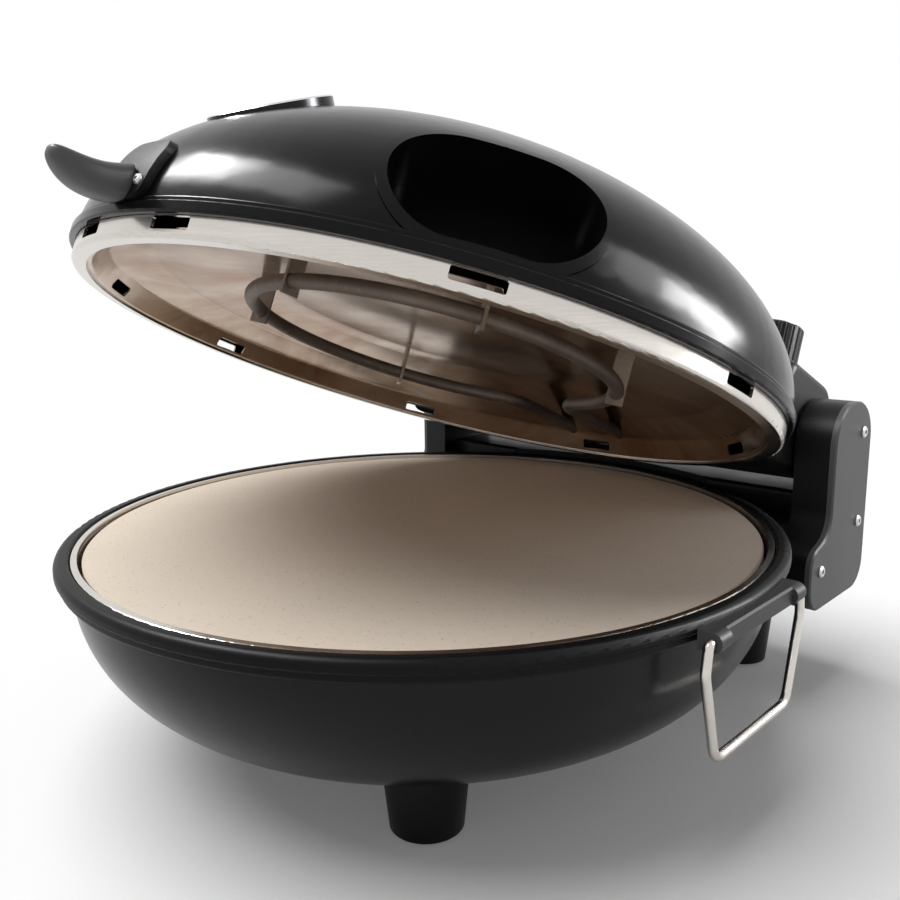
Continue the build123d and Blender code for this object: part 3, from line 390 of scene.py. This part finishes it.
def lathe(outline, steps):
    """Mesh turned about Z from a closed outline of (radius, height)."""
    mesh = bmesh.new()
    rows = []
    for i in range(steps):
        turn = 2 * math.pi * i / steps
        rows.append([mesh.verts.new((r * math.cos(turn), r * math.sin(turn), z)) for r, z in outline])
    for i, row in enumerate(rows):
        after = rows[(i + 1) % steps]
        for j in range(len(outline)):
            k = (j + 1) % len(outline)
            mesh.faces.new((row[j], after[j], after[k], row[k]))
    bmesh.ops.recalc_face_normals(mesh, faces=mesh.faces)
    return mesh


def lid_place():
    """Matrix from millimetres over the stone's top, with the lid shut, to where the lid rests half open."""
    pivot = Vector(JOINTS["lid_hinge"]["pos_m"])
    opened = Matrix.Translation(pivot) @ Matrix.Rotation(LID_REST, 4, "X") @ Matrix.Translation(-pivot)
    return opened @ Matrix.Translation(STONE_CENTRE) @ Matrix.Scale(MILLIMETRE, 4)


def tongue(sections, steps, fullness):
    """Mesh through round-cornered sections of (y, low, high, half width), closed at both ends."""
    mesh = bmesh.new()
    rows = []
    for y, low, high, half in sections:
        row = []
        for i in range(steps):
            turn = 2 * math.pi * i / steps
            parts = math.cos(turn), math.sin(turn)
            across, up = (math.copysign(abs(part) ** (2 / fullness), part) for part in parts)
            row.append(mesh.verts.new((half * across, y, (low + high) / 2 + (high - low) / 2 * up)))
        rows.append(row)
    for row, after in zip(rows, rows[1:]):
        for i in range(steps):
            k = (i + 1) % steps
            mesh.faces.new((row[i], row[k], after[k], after[i]))
    mesh.faces.new(rows[0])
    mesh.faces.new(rows[-1])
    bmesh.ops.recalc_face_normals(mesh, faces=mesh.faces)
    return mesh


def saved(mesh, name, matrix, smooth=True):
    """Moves a mesh in the making to its place and stores it."""
    mesh.transform(matrix)
    data = bpy.data.meshes.new(name)
    mesh.to_mesh(data)
    mesh.free()
    for face in data.polygons:
        face.use_smooth = smooth
    return data


# ---- settings -------------------------------------------------------------------------------
class PizzaMakerFinishes(PropertyGroup):
    enamel_colour: FloatVectorProperty(name="Enamel", description="Gloss paint of the dome and scoops",
                                       subtype="COLOR", default=(0.0025, 0.0025, 0.003), min=0, max=1)
    bowl_colour: FloatVectorProperty(name="Bowl paint", description="Satin paint of the bowl and rim",
                                     subtype="COLOR", default=(0.003, 0.003, 0.0035), min=0, max=1)
    plastic_colour: FloatVectorProperty(name="Plastic", description="Hinge housing, control housing and feet",
                                        subtype="COLOR", default=(0.0055, 0.0055, 0.006), min=0, max=1)
    grey_colour: FloatVectorProperty(name="Grey paint", description="Handle, hinge plates and bail brackets",
                                     subtype="COLOR", default=(0.088, 0.089, 0.092), min=0, max=1)
    steel_colour: FloatVectorProperty(name="Steel", description="Band, trim ring, bails and screws",
                                      subtype="COLOR", default=(0.60, 0.57, 0.53), min=0, max=1)
    stone_colour: FloatVectorProperty(name="Stone", description="Baking stone",
                                      subtype="COLOR", default=(0.78, 0.675, 0.56), min=0, max=1)
    rod_colour: FloatVectorProperty(name="Rod", description="Sheath of the heating rods",
                                    subtype="COLOR", default=(0.16, 0.13, 0.11), min=0, max=1)
    heat_tint: FloatProperty(name="Heat tint", description="How far the reflector has browned",
                             subtype="FACTOR", default=0.85, min=0, max=1)


class PizzaMakerDials(PropertyGroup):
    marks: IntProperty(name="Marks", description="Dial marks round each knob", subtype="UNSIGNED",
                       default=11, min=3, max=40)
    radius: FloatProperty(name="Radius", description="Circle the marks stand on", subtype="DISTANCE",
                          default=0.0178, min=0.016, max=0.03)
    length: FloatProperty(name="Length", description="Length of a mark", subtype="DISTANCE", default=0.0022,
                          min=0.0005, max=0.006)
    cap_radius: FloatProperty(name="Cap ring", description="Radius of the bright ring on a knob",
                              subtype="DISTANCE", default=0.0122, min=0.008, max=0.0135)


class PizzaMakerStudio(PropertyGroup):
    floor_size: FloatProperty(name="Floor", description="Side of the floor sheet", subtype="DISTANCE",
                              default=12.0)
    floor_colour: FloatVectorProperty(name="Paper", description="Colour of the floor sheet", subtype="COLOR",
                                      default=(0.86, 0.86, 0.86), min=0, max=1)
    floor_lift: FloatProperty(name="Paper lift", description="Glow of the paper where it is seen",
                              subtype="FACTOR", default=0.10, min=0, max=1)
    fill: FloatProperty(name="Fill", description="Strength of the room's even light", subtype="FACTOR",
                        default=0.20, min=0, max=1)
    key: FloatProperty(name="Key", description="Strength of the wide key light from the left",
                       subtype="UNSIGNED", default=3.0, min=0)
    left_glow: FloatProperty(name="Left glow", description="Brightness of the left soft boxes in the gloss",
                             subtype="UNSIGNED", default=28.0, min=0)
    right_glow: FloatProperty(name="Right glow", description="Brightness of the right soft boxes in the gloss",
                              subtype="UNSIGNED", default=42.0, min=0)
    azimuth: FloatProperty(name="Azimuth", description="Camera's turn round the part", subtype="ANGLE",
                           default=math.radians(43.5))
    elevation: FloatProperty(name="Elevation", description="Camera's height angle", subtype="ANGLE",
                             default=math.radians(11.0))
    roll: FloatProperty(name="Roll", description="Camera's roll", subtype="ANGLE", default=math.radians(-0.8))
    distance: FloatProperty(name="Distance", description="From the stone's centre", subtype="DISTANCE",
                            default=0.4304)
    across: FloatProperty(name="Across", description="Camera's offset to the right", subtype="DISTANCE",
                          default=0.0116)
    above: FloatProperty(name="Above", description="Camera's offset upwards", subtype="DISTANCE", default=0.0338)
    lens: FloatProperty(name="Lens", description="Focal length in millimetres", subtype="DISTANCE_CAMERA",
                        default=36.11)


# ---- operators ------------------------------------------------------------------------------
class PizzaMakerPaintedShells(Operator):
    """Paint the dome, the hand scoops, the bowl and its rim"""
    bl_idname = "pizza_maker.painted_shells"
    bl_label = "Painted shells"

    def execute(self, context):
        colours = context.scene.pizza_finishes
        dress(enamel("gloss enamel", colours.enamel_colour, roughness=0.2, peel=0.02, shine=0.12),
              "lid_dome", "grip_scoop_right", "grip_scoop_left")
        dress(enamel("satin enamel", colours.bowl_colour, roughness=0.25, peel=0.04, shine=0.17), "base_bowl")
        dress(enamel("rim enamel", colours.bowl_colour, roughness=0.42, peel=0.04, shine=0.1), "base_rim")
        return {"FINISHED"}


class PizzaMakerHousings(Operator):
    """Give the hinge housing, control housing, feet and knobs their moulded plastics"""
    bl_idname = "pizza_maker.housings"
    bl_label = "Housings and knobs"

    def execute(self, context):
        black = context.scene.pizza_finishes.plastic_colour
        dress(moulded("moulded housing", black, roughness=0.42),
              "hinge_housing", "hinge_housing_cover", "control_housing", "handle_seat",
              "foot_front_right", "foot_front_left", "foot_rear_right", "foot_rear_left")
        dress(moulded("moulded knob", black, roughness=0.3, grain=2600.0, depth=0.12), "knob_right", "knob_left")
        dress(moulded("phenolic board", (0.12, 0.06, 0.03), roughness=0.5, grain=1400.0),
              "terminal_block", "thermostat_right", "thermostat_left", "thermal_cutout")
        dress(pad_rubber(), "foot_pads", "cord_gland")
        dress(lamp_glass(), "lamp_lenses")
        return {"FINISHED"}


class PizzaMakerGreyMetal(Operator):
    """Give the handle, the hinge's side plates and the bail brackets their satin grey"""
    bl_idname = "pizza_maker.grey_metal"
    bl_label = "Grey metal"

    def execute(self, context):
        grey = context.scene.pizza_finishes.grey_colour
        dress(moulded("satin grey paint", grey, roughness=0.38, grain=2200.0, depth=0.1),
              "lid_handle", "hinge_plate_right", "hinge_plate_left")
        dress(moulded("dark satin paint", rgba(grey, 0.6)[:3], roughness=0.42, grain=2200.0, depth=0.1),
              "bail_bracket_right", "bail_bracket_left")
        return {"FINISHED"}


class PizzaMakerHandle(Operator):
    """Shape the lid's handle as a rounded tongue"""
    bl_idname = "pizza_maker.handle"
    bl_label = "Lid handle"

    def execute(self, context):
        finish = NODES["lid_handle"].material_slots[0].material
        shape = tongue(HANDLE_SECTIONS, steps=20, fullness=2.9)
        data = saved(shape, "lid_handle_tongue", lid_place())
        made = piece("lid_handle_tongue", data, finish, "lid")
        rounding = made.modifiers.new("rounding", "SUBSURF")
        rounding.levels = rounding.render_levels = 2
        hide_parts("lid_handle")
        return {"FINISHED"}


class PizzaMakerSteel(Operator):
    """Give the band, trim ring, reflector, pan, bails and fasteners their steels"""
    bl_idname = "pizza_maker.steel"
    bl_label = "Steel"

    def execute(self, context):
        colours = context.scene.pizza_finishes
        bright = colours.steel_colour
        dress(steel("rolled bright steel", bright, roughness=0.2, lines=90.0, drawn=(1, 1, 22), depth=0.012),
              "lid_rim_band", "base_trim_ring")
        dress(steel("reflector steel", (0.56, 0.47, 0.39), roughness=0.2, lines=60.0, heat=colours.heat_tint,
                    heat_colour=(0.24, 0.125, 0.06), drawn=(1, 1, 3), depth=0.03),
              "lid_reflector")
        dress(steel("pan steel", (0.30, 0.24, 0.20), roughness=0.32, lines=60.0, heat=0.7,
                    heat_colour=(0.12, 0.06, 0.035), drawn=(1, 1, 3)),
              "base_reflector_pan")
        dress(steel("drawn wire", bright, roughness=0.2, lines=200.0, drawn=(1, 1, 1)), "bail_right", "bail_left")
        dress(badge_chrome((0.66, 0.66, 0.67)), "badge_ring")
        dress(steel("badge face steel", (0.62, 0.62, 0.62), roughness=0.26, lines=150.0, depth=0.03), "badge_disc")
        dress(steel("fastener steel", (0.5, 0.5, 0.51), roughness=0.34, lines=300.0),
              "hinge_plate_screws", "hinge_cover_screws", "handle_screws", "hinge_pin_right", "hinge_pin_left",
              "hinge_washers", "knob_shaft_right", "knob_shaft_left")
        dress(steel("sooted spring steel", (0.24, 0.21, 0.18), roughness=0.4, lines=300.0),
              "lower_element_clips", "upper_element_clips")
        return {"FINISHED"}


class PizzaMakerEvenShading(Operator):
    """Let the large faces of the rolled rims set the shading, so that their narrow bends show no facets"""
    bl_idname = "pizza_maker.even_shading"
    bl_label = "Even shading"

    def execute(self, context):
        for name in ("base_rim", "lid_rim_band", "lid_dome"):
            NODES[name].modifiers.new("even shading", "WEIGHTED_NORMAL").keep_sharp = True
        return {"FINISHED"}


class PizzaMakerHearth(Operator):
    """Give the baking stone and the heating rods their surfaces"""
    bl_idname = "pizza_maker.hearth"
    bl_label = "Stone and rods"

    def execute(self, context):
        colours = context.scene.pizza_finishes
        dress(baking_stone(colours.stone_colour), "stone")
        dress(heater_sheath(colours.rod_colour), "lower_element", "upper_element")
        return {"FINISHED"}


class PizzaMakerKnobRings(Operator):
    """Add the bright ring set in the top of each knob"""
    bl_idname = "pizza_maker.knob_rings"
    bl_label = "Knob rings"

    def execute(self, context):
        outer = context.scene.pizza_dials.cap_radius
        high = knob_height()
        inner = outer - RING_WIDTH
        top, foot = high + RING_RISE, high - RING_SUNK
        outline = [(outer, foot), (outer, top - RING_OUTER_BEVEL), (outer - RING_BEVEL, top),
                   (inner + RING_BEVEL, top), (inner, top - RING_BEVEL), (inner, foot)]
        finish = steel("knob ring steel", (0.8, 0.8, 0.8), roughness=0.2, lines=200.0, depth=0.03)
        for side in ("right", "left"):
            place = joint_frame(JOINTS[f"knob_{side}_turn"])
            data = saved(lathe(outline, steps=72), f"knob_ring_{side}", place)
            piece(f"knob_ring_{side}", data, finish, f"knob_{side}")
        return {"FINISHED"}


class PizzaMakerDialMarks(Operator):
    """Print the ring of dial marks round each knob"""
    bl_idname = "pizza_maker.dial_marks"
    bl_label = "Dial marks"

    def execute(self, context):
        dials = context.scene.pizza_dials
        ink = print_ink()
        for side in ("right", "left"):
            mesh = bmesh.new()
            for i in range(dials.marks):
                turn = math.radians(DIAL_SWEEP * (i / (dials.marks - 1) - 0.5) - 90)
                breadth = MARK_BREADTH if i % MAIN_MARK_EVERY else MAIN_MARK_BREADTH
                made = bmesh.ops.create_cube(mesh, size=1.0)
                shape = (Matrix.Rotation(turn, 4, "Z") @ Matrix.Translation((dials.radius, 0, -DIAL_DROP))
                         @ Matrix.Diagonal((dials.length, breadth, MARK_THICKNESS, 1)))
                bmesh.ops.transform(mesh, matrix=shape, verts=made["verts"])
            place = joint_frame(JOINTS[f"knob_{side}_turn"])
            data = saved(mesh, f"dial_marks_{side}", place, smooth=False)
            piece(f"dial_marks_{side}", data, ink, "lid")
        return {"FINISHED"}


class PizzaMakerStage(Operator):
    """Lay the floor, hang the lamps and set the camera"""
    bl_idname = "pizza_maker.stage"
    bl_label = "Studio"

    def execute(self, context):
        studio = context.scene.pizza_studio
        lay_floor(studio)
        light_room(context.scene, studio)
        set_camera(context.scene, studio)
        return {"FINISHED"}


def knob_height():
    """Height of a knob's top above its joint's point, along the knob's axis."""
    joint = JOINTS["knob_right_turn"]
    axis = Vector(joint["axis"]).normalized()
    point = Vector(joint["pos_m"])
    return max((vertex.co - point).dot(axis) for vertex in NODES["knob_right"].data.vertices)


def lay_floor(studio):
    """A wide sheet of paper under the feet."""
    mesh = bmesh.new()
    bmesh.ops.create_grid(mesh, x_segments=1, y_segments=1, size=studio.floor_size / 2)
    data = saved(mesh, "studio_floor", Matrix(), smooth=False)
    floor = bpy.data.objects.new("studio_floor", data)
    bpy.context.collection.objects.link(floor)
    data.materials.append(studio_paper(studio.floor_colour, studio.floor_lift))


def direction(azimuth, elevation):
    """Unit vector from the part to where degrees point: azimuth 0 is the handle's side, 90 the right side."""
    around, up = math.radians(azimuth), math.radians(elevation)
    return Vector((math.sin(around) * math.cos(up), -math.cos(around) * math.cos(up), math.sin(up)))


def hang_lamp(name, kind, towards, distance, target, **settings):
    """A lamp that shines at a point from a direction, and isn't itself in the picture."""
    lamp = bpy.data.lights.new(name, kind)
    for key, value in settings.items():
        setattr(lamp, key, value)
    made = bpy.data.objects.new(name, lamp)
    made.location = Vector(target) + towards * distance
    made.rotation_mode = "QUATERNION"
    made.rotation_quaternion = towards.to_track_quat("Z", "Y")
    made.visible_camera = False
    bpy.context.collection.objects.link(made)
    return made


def hang_panel(name, glow, towards, width, height, roll):
    """A soft box of a given brightness, there only for the highlights of glossy pieces."""
    panel = hang_lamp(name, "AREA", towards, PANEL_DISTANCE, PANEL_TARGET, energy=glow * math.pi * width * height,
                      shape="RECTANGLE", size=width, size_y=height)
    panel.rotation_quaternion = panel.rotation_quaternion @ Quaternion((0, 0, 1), math.radians(roll))
    panel.visible_diffuse = False


def light_room(scene, studio):
    """White to the camera and in reflections, with an even fill, a wide key light and soft boxes."""
    world = bpy.data.worlds.new("studio room")
    world.use_nodes = True
    scene.world = world
    room = Graph(world.node_tree)
    strength = room.seen() * (1.0 - studio.fill) + studio.fill
    shine = room.add("Background", values={"Color": (1, 1, 1, 1), "Strength": strength})
    out = room.tree.nodes.new("ShaderNodeOutputWorld")
    room.tree.links.new(shine.socket, out.inputs["Surface"])
    sun = hang_lamp("key_light", "SUN", direction(KEY_AZIMUTH, KEY_ELEVATION), KEY_DISTANCE, STONE_CENTRE,
                    energy=studio.key, angle=KEY_ANGLE)
    sun.visible_glossy = False
    for name, glow, share, azimuth, elevation, width, height, roll in PANELS:
        hang_panel(name, getattr(studio, glow) * share, direction(azimuth, elevation), width, height, roll)


def set_camera(scene, studio):
    """The photograph's view, fitted to the stone's rim."""
    back = direction(math.degrees(studio.azimuth), math.degrees(studio.elevation))
    side = Vector((math.cos(studio.azimuth), math.sin(studio.azimuth), 0))
    up = back.cross(side)
    cosine, sine = math.cos(studio.roll), math.sin(studio.roll)
    right = side * cosine + up * sine
    upright = up * cosine - side * sine
    place = STONE_CENTRE + right * studio.across + upright * studio.above + back * studio.distance
    lens = bpy.data.cameras.new("studio_camera")
    lens.lens = studio.lens
    lens.sensor_width = SENSOR_WIDTH
    lens.clip_start = 0.01
    camera = bpy.data.objects.new("studio_camera", lens)
    camera.matrix_world = Matrix.Translation(place) @ Matrix((right, upright, back)).transposed().to_4x4()
    bpy.context.collection.objects.link(camera)
    scene.camera = camera
    scene.view_settings.view_transform = "Standard"


class PizzaMakerPanel(Panel):
    bl_label = "Pizza maker"
    bl_idname = "VIEW3D_PT_pizza_maker"
    bl_space_type = "VIEW_3D"
    bl_region_type = "UI"
    bl_category = "Pizza maker"

    def draw(self, context):
        layout = self.layout
        for operator in OPERATORS:
            layout.operator(operator.bl_idname)
        for group in (context.scene.pizza_finishes, context.scene.pizza_dials, context.scene.pizza_studio):
            box = layout.box()
            for name in group.__annotations__:
                box.prop(group, name)


OPERATORS = (PizzaMakerPaintedShells, PizzaMakerHousings, PizzaMakerGreyMetal, PizzaMakerHandle, PizzaMakerSteel,
             PizzaMakerEvenShading, PizzaMakerHearth, PizzaMakerKnobRings, PizzaMakerDialMarks, PizzaMakerStage)
GROUPS = {"pizza_finishes": PizzaMakerFinishes, "pizza_dials": PizzaMakerDials, "pizza_studio": PizzaMakerStudio}


def register():
    for kind in (*GROUPS.values(), *OPERATORS, PizzaMakerPanel):
        bpy.utils.register_class(kind)
    for name, group in GROUPS.items():
        setattr(bpy.types.Scene, name, PointerProperty(type=group))


def unregister():
    for name in GROUPS:
        delattr(bpy.types.Scene, name)
    for kind in (PizzaMakerPanel, *reversed(OPERATORS), *GROUPS.values()):
        bpy.utils.unregister_class(kind)


def main():
    register()
    bpy.ops.pizza_maker.painted_shells()
    bpy.ops.pizza_maker.housings()
    bpy.ops.pizza_maker.grey_metal()
    bpy.ops.pizza_maker.handle()
    bpy.ops.pizza_maker.steel()
    bpy.ops.pizza_maker.even_shading()
    bpy.ops.pizza_maker.hearth()
    bpy.ops.pizza_maker.knob_rings()
    bpy.ops.pizza_maker.dial_marks()
    bpy.ops.pizza_maker.stage()


if __name__ == "__main__":
    main()
